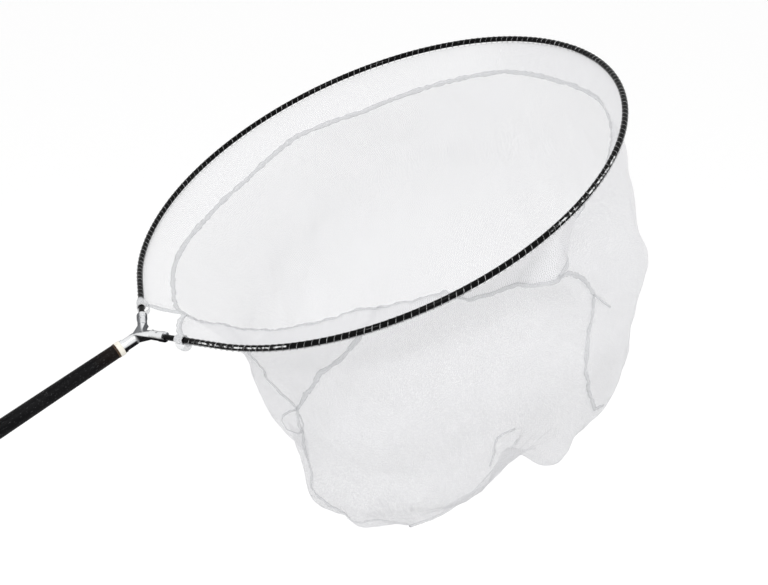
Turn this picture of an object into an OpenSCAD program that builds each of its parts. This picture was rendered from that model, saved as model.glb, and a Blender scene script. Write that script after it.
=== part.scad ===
// Landing net: a telescopic twist-lock handle, a screw-in alloy spreader block, a round
// hoop and a fine-mesh bag that is lashed to the hoop. Millimetres, +Z up.
// The origin is the middle of the grip. The handle is pitched up by `pitch`, towards +X.

/* [Pose] */
// Angle of the handle above level, in degrees
pitch = 24.5; // [0:0.5:45]

/* [Hoop] */
// Radius of the hoop, to the centre of its rod
hoop_r = 275; // [200:1:350]
// Diameter of the hoop's rod
rod_d = 6; // [5:0.5:8]
// Half of the hoop's open angle, where the rod leaves its arc for the block
open_angle = 22; // [16:1:28]

/* [Spreader block] */
// Length of the round neck, from its face to the point where the rod's lines cross
neck_len = 25; // [20:1:40]
// Diameter of the neck
neck_d = 12.5; // [11:0.5:16]
// Distance from that crossing to the mouth of a rod socket
socket_reach = 34.5; // [30:0.5:45]
// Depth of a rod socket
socket_depth = 21; // [15:1:26]
// Outer diameter of a rod socket
socket_d = 11; // [10:0.5:14]
// Diameter of an arm where it leaves the neck
arm_d = 9; // [7:0.5:11]
// Thickness of the recessed web between the arms
web_t = 3.6; // [2:0.2:6]
// Diameter of the pins that hold the rod
pin_d = 2.5; // [2:0.5:3]

/* [Screw joint] */
// Outer diameter of the screw thread, 3/8 inch
thread_d = 9.5; // [8:0.5:10]
// Length of the thread past the neck
thread_len = 22; // [18:1:30]
// Diameter of the stud's spigot in the block
spigot_d = 7; // [5:0.5:8]
// Length of the spigot
spigot_len = 14; // [8:1:18]
// Thickness of the white washer
washer_t = 6; // [2:0.5:8]
// Outer diameter of the washer
washer_d = 16; // [14:0.5:20]
// Thickness of the ferrule's flange
flange_t = 2; // [1:0.5:4]
// Length of the ferrule inside the tube
ferrule_len = 18; // [12:1:30]

/* [Upper handle section] */
// Length of the upper tube
upper_len = 560; // [450:10:800]
// Outer diameter of the upper tube
upper_d = 18; // [16:0.5:19]
// Outer diameter of the upper tube's tip
tip_d = 15; // [14:0.5:16]
// Length of the tapered part behind the tip
taper_len = 180; // [100:10:300]
// Wall of both tubes
tube_wall = 1; // [0.8:0.1:1.5]

/* [Twist lock] */
// Length of the split expander sleeve
sleeve_len = 30; // [20:1:45]
// Diameter of the lock's core rod
core_d = 8; // [6:0.5:9]
// Width of the sleeve's slit
slit_w = 2; // [1:0.5:3]
// Length of the plug inside the upper tube
plug_len = 20; // [12:1:30]

/* [Lower handle section] */
// Length of the lower tube
lower_len = 620; // [500:10:900]
// Outer diameter of the lower tube
lower_d = 22; // [22:0.5:26]
// Length of upper tube inside the lower tube at rest
overlap = 264; // [200:2:300]
// Length of the mouth collar
collar_len = 30; // [20:1:45]
// Wall of the mouth collar
collar_wall = 2.5; // [1.5:0.5:4]
// Length of the collar's lip in front of the tube
lip_len = 6; // [3:1:10]

/* [Grip] */
// Length of the grip
grip_len = 200; // [140:5:260]
// Outer diameter of the grip
grip_d = 29; // [27:0.5:34]
// Rounding of the grip's ends
grip_round = 3; // [1:0.5:3.5]
// Length of the trim ring in front of the grip
ring_len = 6; // [3:1:10]
// Depth of the butt cap over the tube
cap_depth = 6; // [4:1:12]
// Thickness of the butt cap's end
cap_end = 6; // [4:1:10]
// How much narrower the butt cap is than the grip
cap_step = 1; // [0.5:0.5:3]

/* [Bag] */
// Width of the band below the hoop, where it is widest
band_w = 60; // [40:1:80]
// Thickness of the netting
net_t = 1; // [0.8:0.1:1.6]
// Thickness of the sewn seams
seam_t = 2.4; // [2:0.2:3]
// Width of the sewn seams
seam_w = 4; // [3:0.5:6]
// Depth of the bag below the hoop's centre
bag_depth = 376; // [300:2:450]
// How far the bag's bottom stands towards the hoop's far side
bag_shift = 102; // [60:2:120]
// How far the net's edge sags in across the hoop's opening
gap_sag = 22; // [10:1:30]
// Diameter of the bound edge across the opening
hem_d = 3; // [2:0.5:4]

/* [Lashing] */
// Pitch of the lashing thread along the rod
lash_pitch = 7.6; // [6:0.1:12]
// Thickness of the lashing thread
lash_t = 0.5; // [0.4:0.1:0.8]
// Diameter of the end ties' cord
tie_cord_d = 2; // [1.5:0.5:2.5]
// Turns of cord in each end tie
tie_turns = 6; // [3:1:6]
// Bare rod between the block and an end tie
bare_rod = 17; // [10:1:24]

/* [Hidden] */
$fn = 64;

fit = 0.02;     // radial clearance of pressed and glued fits
run = 0.05;     // radial clearance of running fits
gap = 0.3;      // air between soft pieces and their neighbours
face_gap = 0.2; // air between faces that turn on each other
eps = 0.01;     // overshoot of cuts

// Places along the handle, from the middle of the grip
grip_back = -grip_len / 2;
grip_front = grip_len / 2;
lower_back = grip_back - cap_depth;
lower_front = lower_back + lower_len;
upper_back = lower_front - overlap;
tip_x = upper_back + upper_len;
washer_x = tip_x + flange_t;
neck_x = washer_x + washer_t;
crossing_x = neck_x + neck_len;
hoop_x = crossing_x + hoop_r / cos(open_angle);

rod_r = rod_d / 2;
lower_bore = lower_d - 2 * tube_wall;
upper_bore = upper_d - 2 * tube_wall;
tip_bore = tip_d - 2 * tube_wall;
arc_half = 180 - open_angle;
arc_run = hoop_r * arc_half * PI / 180;
tail_len = hoop_r * tan(open_angle);
tie_step = 0.95; // turns lie closer than their cord's diameter, so that they are one piece
tie_len = tie_turns * tie_cord_d * tie_step;
tie_out = socket_reach + bare_rod;
lash_half = arc_run + tail_len - tie_out - tie_len - lash_pitch / 2;
lash_count = floor(2 * lash_half / lash_pitch);
lash_r = rod_r + gap + lash_t;

module pitched() { rotate([0, -pitch, 0]) children(); }
module along(x) { translate([x, 0, 0]) rotate([0, 90, 0]) children(); }
module rod_x(x0, x1, d) { along(x0) cylinder(d = d, h = x1 - x0); }
module tube_x(x0, x1, outer, inner) {
    difference() {
        rod_x(x0, x1, outer);
        rod_x(x0 - eps, x1 + eps, inner);
    }
}

// ---- lower handle section ----

module butt_cap() color("#1c1d1f") pitched() {
    x0 = lower_back - cap_end;
    cap_d = grip_d - cap_step;
    difference() {
        union() {
            rod_x(x0 + grip_round, grip_back, cap_d);
            rod_x(x0, x0 + grip_round + eps, cap_d - 2 * grip_round);
            along(x0 + grip_round) rotate_extrude() translate([cap_d / 2 - grip_round, 0]) circle(r = grip_round);
        }
        rod_x(lower_back, grip_back + eps, lower_d + 2 * fit);
    }
    rod_x(lower_back - eps, lower_back + 2 * cap_depth, lower_bore - 2 * fit);
}

module grip() color("#26282a") pitched() difference() {
    union() {
        rod_x(grip_back, grip_front - grip_round, grip_d);
        rod_x(grip_front - grip_round - eps, grip_front, grip_d - 2 * grip_round);
        along(grip_front - grip_round)
            rotate_extrude() translate([grip_d / 2 - grip_round, 0]) circle(r = grip_round);
    }
    rod_x(grip_back - eps, grip_front + eps, lower_d + 2 * fit);
}

module grip_ring() color("#8f9295") pitched()
    tube_x(grip_front, grip_front + ring_len, lower_d + 3, lower_d + 2 * fit);

module lower_tube() color("#2b2d2f") pitched()
    tube_x(lower_back, lower_front, lower_d, lower_bore);

module mouth_collar() color("#17181a") pitched() difference() {
    rod_x(lower_front + lip_len - collar_len, lower_front + lip_len, lower_d + 2 * collar_wall);
    rod_x(lower_front - collar_len, lower_front, lower_d + 2 * fit);
    rod_x(lower_front - eps, lower_front + lip_len + eps, upper_d + 2 * run);
}

// ---- twist lock, inside the lower tube ----

plug_flange = 3;
core_head = 3;
sleeve_front = upper_back - plug_flange - face_gap;
sleeve_back = sleeve_front - sleeve_len;

module expander_sleeve() color("#d9d9d2") pitched() difference() {
    tube_x(sleeve_back, sleeve_front, lower_bore - 2 * run, core_d + 2 * run);
    translate([sleeve_back - eps, -slit_w / 2, 0]) cube([sleeve_len + 2 * eps, slit_w, lower_bore]);
}

module lock_core() color("#9a9c9e") pitched() {
    rod_x(sleeve_back - face_gap - eps, upper_back + plug_len / 2, core_d);
    rod_x(sleeve_back - face_gap - core_head, sleeve_back - face_gap, 2 * core_d - 1);
}

module upper_plug() color("#3a3c3e") pitched() difference() {
    union() {
        rod_x(upper_back - plug_flange, upper_back, upper_d);
        rod_x(upper_back - eps, upper_back + plug_len, upper_bore - 2 * fit);
    }
    rod_x(upper_back - plug_flange - eps, upper_back + plug_len / 2, core_d + 2 * fit);
}

// ---- upper handle section ----

module upper_tube() color("#303234") pitched() difference() {
    union() {
        rod_x(upper_back, tip_x - taper_len, upper_d);
        along(tip_x - taper_len - eps) cylinder(d1 = upper_d, d2 = tip_d, h = taper_len + eps);
    }
    rod_x(upper_back - eps, tip_x - taper_len, upper_bore);
    along(tip_x - taper_len - eps)
        cylinder(d1 = upper_bore, d2 = tip_bore, h = taper_len - ferrule_len + 2 * eps);
    rod_x(tip_x - ferrule_len, tip_x + eps, tip_bore);
}

module ferrule() color("#6a5238") pitched() difference() {
    union() {
        rod_x(tip_x - ferrule_len, tip_x, tip_bore - 2 * fit);
        rod_x(tip_x - eps, tip_x + flange_t, tip_d + 0.6);
    }
    rod_x(tip_x - ferrule_len - eps, tip_x + flange_t + eps, thread_d + 2 * run);
}

// ---- screw joint and spreader block ----

washer_round = 1;

module washer() color("#f1ede2") pitched() along(washer_x) difference() {
    rotate_extrude() {
        square([washer_d / 2 - washer_round, washer_t]);
        translate([0, washer_round]) square([washer_d / 2, washer_t - 2 * washer_round]);
        for (y = [washer_round, washer_t - washer_round])
            translate([washer_d / 2 - washer_round, y]) circle(r = washer_round);
    }
    translate([0, 0, -eps]) cylinder(d = thread_d + 2 * run, h = washer_t + 2 * eps);
}

module screw_stud() color("#b9a56a") pitched() {
    chamfer = 1;
    along(neck_x - thread_len) cylinder(d1 = thread_d - 2 * chamfer, d2 = thread_d, h = chamfer + eps);
    rod_x(neck_x - thread_len + chamfer, neck_x, thread_d);
    rod_x(neck_x - eps, neck_x + spigot_len, spigot_d);
}

// Turns Z to run along one of the rod's straight ends, from the crossing outwards; side is 1 or -1
module at_tail(side) {
    translate([crossing_x, 0, 0]) rotate([0, 0, side * (90 - open_angle)]) rotate([0, 90, 0]) children();
}

socket_root = socket_reach - socket_depth;
pin_at = socket_root + socket_depth / 2;
arm_root = neck_len * 0.35;
crotch_r = 9;

module arm(side) {
    hull() {
        translate([crossing_x - arm_root, 0, 0]) sphere(d = arm_d + 1.5, $fn = 32);
        at_tail(side) translate([0, 0, socket_root + 1]) sphere(d = arm_d, $fn = 32);
    }
    hull() {
        at_tail(side) translate([0, 0, socket_root + 1]) sphere(d = arm_d, $fn = 32);
        at_tail(side) translate([0, 0, socket_reach - 6]) cylinder(d = socket_d - 0.6, h = 1, $fn = 32);
    }
    at_tail(side) translate([0, 0, socket_root]) cylinder(d = socket_d - 1, h = socket_depth);
    at_tail(side) translate([0, 0, socket_reach - 7]) cylinder(d = socket_d, h = 7);
}

module web() {
    reach = socket_reach - 8;
    translate([crossing_x, 0, -web_t / 2]) linear_extrude(web_t) difference() {
        polygon([[-arm_root - 4, 0], for (s = [1, -1]) [reach * sin(open_angle), s * reach * cos(open_angle)]]);
        translate([reach * sin(open_angle) + crotch_r * 0.45, 0]) scale([1, 1]) circle(r = crotch_r);
    }
}

module spreader_block() color("#c9ccd0") pitched() difference() {
    union() {
        rod_x(neck_x, crossing_x - arm_root, neck_d);
        rod_x(neck_x, neck_x + 3, neck_d + 1.5);
        for (s = [1, -1]) arm(s);
        web();
    }
    rod_x(neck_x - eps, neck_x + spigot_len, spigot_d + 2 * fit);
    for (s = [1, -1]) {
        at_tail(s) translate([0, 0, socket_root]) cylinder(d = rod_d, h = socket_depth + eps);
        at_tail(s) translate([0, 0, pin_at]) rotate([0, 90, 0]) cylinder(d = pin_d + 2 * fit, h = socket_d * 2, center = true);
    }
}

module rod_pins() color("#7c7f83") pitched() for (s = [1, -1])
    at_tail(s) translate([0, 0, pin_at]) rotate([0, 90, 0]) cylinder(d = pin_d, h = socket_d - 0.6, center = true);

// ---- hoop ----

rod_end_d = rod_d - 2 * fit; // the straight ends are drawn a hair thinner, to enter the sockets
overrun = 1; // they start this far inside the arc, so that the rod is one piece

module hoop_rod() color("#111214") pitched() difference() {
    union() {
        translate([hoop_x, 0, 0]) rotate([0, 0, -arc_half])
            rotate_extrude(angle = 2 * arc_half, $fn = 360) translate([hoop_r, 0]) circle(d = rod_d, $fn = 48);
        for (s = [1, -1])
            at_tail(s) translate([0, 0, socket_root + fit]) cylinder(d = rod_end_d, h = tail_len - socket_root - fit + overrun);
    }
    for (s = [1, -1])
        at_tail(s) translate([0, 0, pin_at]) rotate([0, 90, 0]) cylinder(d = pin_d + 2 * fit, h = 2 * rod_d, center = true);
}

// Puts its children on the rod, s millimetres from the hoop's far side, with Z along the rod
module on_rod(s) {
    if (abs(s) <= arc_run)
        translate([hoop_x, 0, 0]) rotate([0, 0, s / hoop_r * 180 / PI]) translate([hoop_r, 0, 0])
            rotate([90, 0, 0]) children();
    else
        at_tail(sign(s)) translate([0, 0, tail_len - (abs(s) - arc_run)]) children();
}

// One thread turn a pitch, drawn as a thin ring round the rod
module lashing() color("#e6e8ea") pitched() for (i = [0 : lash_count])
    on_rod((i - lash_count / 2) * lash_pitch) difference() {
        cylinder(r = lash_r, h = lash_t, center = true);
        cylinder(r = rod_r + gap, h = 1, center = true);
    }

module end_tie(side) color("#e9eaec") pitched()
    at_tail(side) for (i = [0 : tie_turns - 1])
        translate([0, 0, tie_out + tie_cord_d * (0.5 + i * tie_step)]) rotate_extrude()
            translate([rod_r + fit + tie_cord_d / 2, 0]) circle(d = tie_cord_d);

// ---- the bag, as one surface: bag_point(a, v) ----
// a is the angle round the hoop: 0 at the far side, 180 at the handle, and below 0 on the -Y side.
// v is 0 at the hoop, 1 at the band's seam, and goes up by one a level to the bottom seam.

tie_end = tie_out + tie_len + lash_pitch / 2;
tie_angle = atan2(tie_end * cos(open_angle), hoop_r / cos(open_angle) - tie_end * sin(open_angle));
net_drop = lash_r + gap + net_t / 2;
tie_drop = rod_r + fit + tie_cord_d + gap + net_t / 2;
hem_drop = tie_drop - net_t / 2 - gap - hem_d / 2;
hem_angle = tie_angle - 1.5;

// How the band hangs: [angle, lean inwards in degrees, share of its full width]
BAND = [[-180, 63, 0.90], [-150, 73, 0.88], [-125, 80, 0.87], [-108, 68, 0.87], [-90, 38, 0.87],
        [-72, 36, 0.86], [-37, 22, 0.80], [0, 12, 0.77], [30, 18, 0.77], [55, 30, 0.92],
        [90, 33, 0.93], [115, 46, 1.00], [145, 58, 0.93], [180, 63, 0.90]];
// Levels below the band, as shares of the hoop's radius and of the bag's depth and shift:
// [drop, half length, half width, shift to the far side, shift in Y, slope in degrees]
LEVELS = [[0.25, 0.865, 0.91, 0.61, 0.00, 24],
          [0.44, 0.835, 0.89, 0.91, 0.00, 24],
          [0.61, 0.755, 0.79, 1.06, 0.00, 25],
          [0.76, 0.685, 0.67, 1.11, 0.02, 27],
          [0.86, 0.600, 0.52, 1.10, 0.04, 30],
          [0.94, 0.500, 0.34, 1.06, 0.06, 32],
          [1.00, 0.420, 0.009, 1.00, 0.06, 33]];
BOTTOM = len(LEVELS);
BAG_END = BOTTOM + 1;
hair = 0.1; // air between sewn edges
bottom_half_y = net_t / 2 + hair;

// The seams between the panels: [v, angle]
LEFT_SEAM = [[1, -120], [1.3, -129], [1.65, -146], [2, -157], [2.5, -166], [3.2, -171], [4.5, -178], [5.5, -180]];
RIGHT_SEAM = [[1, -79], [2, -76], [2.6, -84], [3.1, -86], [3.6, -81], [5, -60], [6.2, -28], [7.3, 0]];
GUSSET_SEAM = [[1, -166], [1.8, -171], [2.1, -171], [2.5, -166]];
gusset_end = 2.5;
row_step = 0.25; // the panels' rows of points lie this far apart in v, so that their edges meet

function smooth(x) = let (t = min(max(x, 0), 1)) t * t * (3 - 2 * t);
function from_handle(a) = let (w = (a + 720) % 360) abs(w - 180);
function signed(a) = let (w = (a + 900) % 360) w - 180;
function edge_r(p) =
    p >= open_angle ? hoop_r :
    p >= tie_angle ? hoop_r / cos(open_angle - p) :
    hoop_r / cos(open_angle - tie_angle) - gap_sag * (1 - pow(p / tie_angle, 2));
function in_plane(x, y) = [x * cos(pitch), y, x * sin(pitch)];
function below(d) = d * [sin(pitch), 0, -cos(pitch)];
function edge_point(a, drop) = let (r = edge_r(from_handle(a))) in_plane(r * cos(a), r * sin(a)) + below(drop);
function net_edge(a) =
    edge_point(a, net_drop + (tie_drop - net_drop) * smooth((open_angle - from_handle(a)) / (open_angle - tie_angle)));
function band_lean(a) = lookup(signed(a), [for (row = BAND) [row[0], row[1]]]);
function band_width(a) = band_w * lookup(signed(a), [for (row = BAND) [row[0], row[2]]]);
function band_point(a) =
    let (w = band_width(a), r = hoop_r - w * sin(band_lean(a)))
    in_plane(r * cos(a), r * sin(a)) - [0, 0, w * cos(band_lean(a))];
function level_point(k, a) =
    k <= 0 ? band_point(a) :
    let (row = LEVELS[min(k, BOTTOM) - 1],
         x = row[1] * hoop_r * cos(a),
         half_y = k >= BOTTOM ? bottom_half_y : row[2] * hoop_r)
    [x * cos(row[5]) + row[3] * bag_shift, half_y * sin(a) + row[4] * hoop_r, x * sin(row[5]) - row[0] * bag_depth];
function curve(p, q, r, s, u) =
    0.5 * (2 * q + (r - p) * u + (2 * p - 5 * q + 4 * r - s) * u * u + (3 * q - p - 3 * r + s) * u * u * u);
function bag_point(a, v) =
    v <= 1 ? (1 - v) * net_edge(a) + v * band_point(a) :
    let (w = min(v - 1, BOTTOM - eps), k = floor(w))
    curve(level_point(k - 1, a), level_point(k, a), level_point(k + 1, a), level_point(k + 2, a), w - k);
function unit(p) = p / norm(p);
// Points out of the bag
function bag_normal(a, v) =
    let (v0 = max(v - 0.02, 0), v1 = v0 + 0.04)
    unit(cross(bag_point(a, v1) - bag_point(a, v0), bag_point(a + 0.5, v) - bag_point(a - 0.5, v)));
function v_step(a, v) = norm(bag_point(a, v + 0.05) - bag_point(a, v - 0.05)) / 0.1;
function a_step(a, v) = norm(bag_point(a + 0.5, v) - bag_point(a - 0.5, v));

// A closed sheet of netting t thick: rows lists [angle, v] points, row by row.
// closed is true where each row runs all the way round.
module sheet(rows, t, closed) {
    n = len(rows[0]);
    m = len(rows);
    outer = [for (row = rows) for (p = row) bag_point(p[0], p[1]) + t / 2 * bag_normal(p[0], p[1])];
    inner = [for (row = rows) for (p = row) bag_point(p[0], p[1]) - t / 2 * bag_normal(p[0], p[1])];
    last = closed ? n - 1 : n - 2;
    skin = [for (j = [0 : m - 2]) for (i = [0 : last])
        let (k = (i + 1) % n) each [[j * n + i, j * n + k, (j + 1) * n + k], [j * n + i, (j + 1) * n + k, (j + 1) * n + i]]];
    lining = [for (f = skin) [f[2] + n * m, f[1] + n * m, f[0] + n * m]];
    top_rim = [for (i = [0 : last]) let (k = (i + 1) % n) each rim(i, k, n * m)];
    low_rim = [for (i = [0 : last]) let (k = (i + 1) % n) each rim((m - 1) * n + k, (m - 1) * n + i, n * m)];
    side_a = closed ? [] : [for (j = [0 : m - 2]) each rim((j + 1) * n, j * n, n * m)];
    side_b = closed ? [] : [for (j = [0 : m - 2]) each rim(j * n + n - 1, (j + 1) * n + n - 1, n * m)];
    polyhedron(concat(outer, inner), concat(skin, lining, top_rim, low_rim, side_a, side_b));
}
function rim(i, k, far) = [[k, i, i + far], [k, i + far, k + far]];

// Angles all round: finer near the handle, where the edge sags
coarse_angle = 6;
fine_angle = 3;
RING = [for (a = [-162 : coarse_angle : 162]) a, for (a = [165 : fine_angle : 195]) a];
// A row beside the band's seam: side is -1 above and 1 below, with some air next to it
function beside_seam(a, side, air) = 1 + side * (seam_w / 2 + air) / v_step(a, 1);

module hung() { pitched() translate([hoop_x, 0, 0]) rotate([0, pitch, 0]) children(); }

module net_band() color("#eceef1") hung()
    sheet([for (j = [0 : 3]) [for (a = RING) [a, beside_seam(a, -1, hair) * j / 3]]], net_t, true);

module band_seam() color("#cfd2d6") hung()
    sheet([for (side = [-1, 1]) [for (a = RING) [a, beside_seam(a, side, 0)]]], seam_t, true);

// A panel from the band's seam down to v_end, between two seams; each row has columns + 1 points
module bag_panel(from, to, v_end, columns) {
    sheet([for (j = [0 : ceil((v_end - 1) / row_step)]) let (v = min(1 + row_step * j, v_end))
        [for (i = [0 : columns])
            let (a0 = lookup(v, from), a1 = lookup(v, to),
                 inset = hair / 2 / a_step(a0 / 2 + a1 / 2, v),
                 a = a0 + inset + (a1 - a0 - 2 * inset) * i / columns)
            [a, j == 0 ? beside_seam(a, 1, gap) : v]]], net_t, false);
}

function turned(seam) = [for (p = seam) [p[0], p[1] + 360]];
// The back panel's left edge: beside the gusset first, and below it beside the front panel
BACK_EDGE = [for (p = GUSSET_SEAM) p, for (p = LEFT_SEAM) if (p[0] > gusset_end) p];

module bag_front() color("#e0e3e7") hung() bag_panel(LEFT_SEAM, RIGHT_SEAM, BAG_END - 2 * eps, 18);
module bag_back() color("#dde1e5") hung() bag_panel(RIGHT_SEAM, turned(BACK_EDGE), BAG_END - 2 * eps, 36);
module bag_gusset() color("#e3e6ea") hung() bag_panel(GUSSET_SEAM, LEFT_SEAM, gusset_end - 0.08, 5);

// A straight-sided tube along a path
module cord_tube(path, d, sides) {
    n = len(path);
    pts = [for (i = [0 : n - 1])
        let (t = unit(path[min(i + 1, n - 1)] - path[max(i - 1, 0)]),
             u = unit(cross(t, [0.1, 1, 0.2])), w = cross(t, u))
        for (k = [0 : sides - 1]) path[i] + d / 2 * (cos(k * 360 / sides) * u + sin(k * 360 / sides) * w)];
    walls = [for (i = [0 : n - 2]) for (k = [0 : sides - 1])
        let (l = (k + 1) % sides) each [[i * sides + k, (i + 1) * sides + l, i * sides + l],
                                       [i * sides + k, (i + 1) * sides + k, (i + 1) * sides + l]]];
    polyhedron(pts, concat(walls, [[for (k = [0 : sides - 1]) k],
                                   [for (k = [sides - 1 : -1 : 0]) (n - 1) * sides + k]]));
}

// The bound ridge of a seam stands outside the panels that it joins
seam_out = net_t / 2 + gap + seam_t / 2;
function seam_line(seam, v_end) = [for (v = [1 + row_step : row_step : v_end])
    let (a = lookup(v, seam)) bag_point(a, v) + seam_out * bag_normal(a, v)];

module panel_seam() color("#cdd0d4") hung() {
    for (seam = [LEFT_SEAM, RIGHT_SEAM])
        cord_tube(seam_line(seam, BAG_END - 2 * row_step), seam_t, 6);
}

module gusset_seam() color("#cdd0d4") hung()
    cord_tube(seam_line(GUSSET_SEAM, gusset_end - row_step), seam_t, 6);

module bottom_seam() color("#cdd0d4") hung() {
    y = LEVELS[BOTTOM - 1][4] * hoop_r;
    cord_tube([for (a = [170 : -10 : 10]) let (p = level_point(BOTTOM, a)) [p[0], y, p[2] - seam_out]], seam_t, 8);
}

module gap_hem() color("#d6d9dc") hung()
    cord_tube([for (i = [-8 : 8]) edge_point(180 + i * hem_angle / 8, hem_drop)], hem_d, 8);

butt_cap();
grip();
grip_ring();
lower_tube();
mouth_collar();
expander_sleeve();
lock_core();
upper_plug();
upper_tube();
ferrule();
washer();
screw_stud();
spreader_block();
rod_pins();
hoop_rod();
lashing();
end_tie(1);  // end_tie_left
end_tie(-1);  // end_tie_right
gap_hem();
net_band();
band_seam();
bag_front();
bag_back();
bag_gusset();
panel_seam();
gusset_seam();
bottom_seam();
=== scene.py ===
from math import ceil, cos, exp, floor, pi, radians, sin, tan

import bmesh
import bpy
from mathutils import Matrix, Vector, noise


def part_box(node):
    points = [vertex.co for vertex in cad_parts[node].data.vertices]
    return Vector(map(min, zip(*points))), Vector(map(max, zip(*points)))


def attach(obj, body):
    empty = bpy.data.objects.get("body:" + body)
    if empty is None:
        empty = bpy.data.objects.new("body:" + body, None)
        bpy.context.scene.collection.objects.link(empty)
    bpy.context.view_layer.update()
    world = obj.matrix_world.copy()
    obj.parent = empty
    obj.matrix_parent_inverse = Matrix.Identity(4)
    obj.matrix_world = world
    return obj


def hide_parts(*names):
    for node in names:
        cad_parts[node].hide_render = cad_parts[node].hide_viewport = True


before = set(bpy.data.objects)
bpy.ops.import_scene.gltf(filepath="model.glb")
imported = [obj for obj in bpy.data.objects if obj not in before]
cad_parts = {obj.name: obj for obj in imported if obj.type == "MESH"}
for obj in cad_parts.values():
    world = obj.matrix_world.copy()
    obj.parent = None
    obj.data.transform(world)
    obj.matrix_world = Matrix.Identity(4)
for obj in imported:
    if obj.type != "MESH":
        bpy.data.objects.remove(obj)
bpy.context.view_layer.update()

# %% [markdown]
# # A landing net
# The net has five bodies that move against each other: the lower handle, the twist
# lock inside it, the upper handle, a washer, and the net head that screws into the
# handle's tip. The hard pieces keep their solids and only get a finish here. The soft
# pieces are modelled anew: the netting, its sewn seams, the thread that lashes it to
# the hoop, and the end ties. That way the cloth can be one thin layer that light
# passes through, as it is on the real net, while the solids behind it stay simple.

# %% [markdown]
# ## Where things are
# The handle is pitched up by 24.5 degrees, and the hoop lies in the handle's plane.
# The hoop's radius and centre are read from its rod, so the soft pieces follow it.
# Points of the bag are written in millimetres from the hoop's centre, with Z up.
# A point of the bag has two numbers: the angle round the hoop, 0 at the far side and
# 180 at the handle, and the level, 0 at the hoop, 1 at the band's seam and 8 at the
# bottom. Two numbers make it easy to run a seam or a fold across the cloth.

# %% The handle's line and the hoop
MM = 0.001
PITCH = radians(24.5)
ALONG = Vector((cos(PITCH), 0, sin(PITCH)))
ACROSS = Vector((0, 1, 0))
UPRIGHT = Vector((-sin(PITCH), 0, cos(PITCH)))
ROD_R = 3.0
low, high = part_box("hoop_rod")
HOOP_R = (high.y - low.y) / 2 / MM - ROD_R
HOOP = Vector((high.x / MM - HOOP_R * cos(PITCH) - ROD_R, 0,
               high.z / MM - HOOP_R * sin(PITCH) - ROD_R)) * MM
OPEN = 22.0        # half of the hoop's open angle, in degrees
SOCKET_OUT = 34.5  # from the rods' crossing to a socket's mouth
BARE = 17.0        # bare rod between a socket and its tie
TIE_LENGTH = 11.4  # of an end tie, along the rod
TURN = 7.6         # from one turn of the lashing to the next
NECK = 25.0        # from the crossing back to the face of the block's neck
JOINT = 8.0        # washer and ferrule flange together
CROSSING = -HOOP_R / cos(radians(OPEN))
TAIL = HOOP_R * tan(radians(OPEN))
ARC = HOOP_R * radians(180 - OPEN)
print(f"hoop radius {HOOP_R:.1f} mm, centre {tuple(round(x, 4) for x in HOOP)}")


def to_world(point):
    """From millimetres about the hoop's centre to metres in the frame."""
    return HOOP + Vector(point) * MM


def in_plane(x, y):
    return ALONG * x + ACROSS * y


def smooth(x):
    x = min(max(x, 0.0), 1.0)
    return x * x * (3 - 2 * x)


def between(x, low, high):
    """0 below low, 1 above high, and a soft step between them."""
    return smooth((x - low) / (high - low))


def table(x, rows, column=1):
    """Reads a column of a table whose rows start with the value to look up."""
    if x <= rows[0][0]:
        return rows[0][column]
    for a, b in zip(rows, rows[1:]):
        if x <= b[0]:
            return a[column] + (b[column] - a[column]) * (x - a[0]) / (b[0] - a[0])
    return rows[-1][column]


def signed(angle):
    """The same angle, from -180 to 180."""
    return (angle + 180) % 360 - 180


# %% [markdown]
# ## The rod's line
# The hoop is one rod: an arc of 316 degrees with two straight ends that run into the
# block's sockets. The lashing, the ties and the netting's edge all need a place on
# that line, so one helper gives it from a distance along the rod.

# %% A place on the rod


def on_rod(distance):
    """The rod's centre, and the directions along and outwards.

    distance is in millimetres from the far side; the straight ends follow on from the arc.
    """
    side = 1 if distance >= 0 else -1
    turn = min(abs(distance), ARC) / HOOP_R * side
    out = in_plane(cos(turn), sin(turn))
    ahead = in_plane(-sin(turn), cos(turn))
    centre = out * HOOP_R + ahead * side * max(abs(distance) - ARC, 0)
    return centre, ahead, out


def round_rod(distance, turn, squash=1.0):
    """The rod's centre, and the direction away from it; turn grows from outwards to up."""
    centre, ahead, out = on_rod(distance)
    return centre, out * cos(turn) * squash + UPRIGHT * sin(turn)


TIE_OUT = SOCKET_OUT + BARE
LASH_END = ARC + TAIL - TIE_OUT - TIE_LENGTH - TURN / 2
print(f"the rod's arc runs {2 * ARC:.0f} mm, its lashing {2 * LASH_END:.0f} mm")

# %% [markdown]
# ## The bag's shape
# The bag has a band, cut on a curve, that hangs down inside the hoop, and below it
# two big panels with a small gusset at the handle. The band leans inwards: a lot at
# the front, where the bag's weight pulls it in, and hardly at all at the far side.
# Below the band the bag is a row of ovals that narrow to a keel. Each level is one
# oval, and a smooth curve through the levels gives every height between them.

# %% Tables of the band, the levels and the seams
# The band: angle round the hoop, how far it leans in, and its width as a share
BAND = [[-180, 62, 0.80], [-168, 69, 0.90], [-148, 73, 0.88], [-126, 81, 0.87], [-114, 72, 0.87],
        [-103, 64, 0.87], [-98, 45, 0.87], [-86, 28, 0.87], [-80, -6, 0.87], [-75, 3, 0.87],
        [-70, 33, 0.86], [-56, 33, 0.80], [-30, 14, 0.65], [-15, 7, 0.61], [3, 4, 0.68], [22, 5, 0.62],
        [62, 21, 0.80], [82, 27, 0.68], [100, 33, 0.87], [120, 43, 0.89], [142, 54, 0.78],
        [160, 58, 0.76], [170, 59, 0.67], [180, 62, 0.80]]
BAND_WIDTH = 60.0
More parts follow.
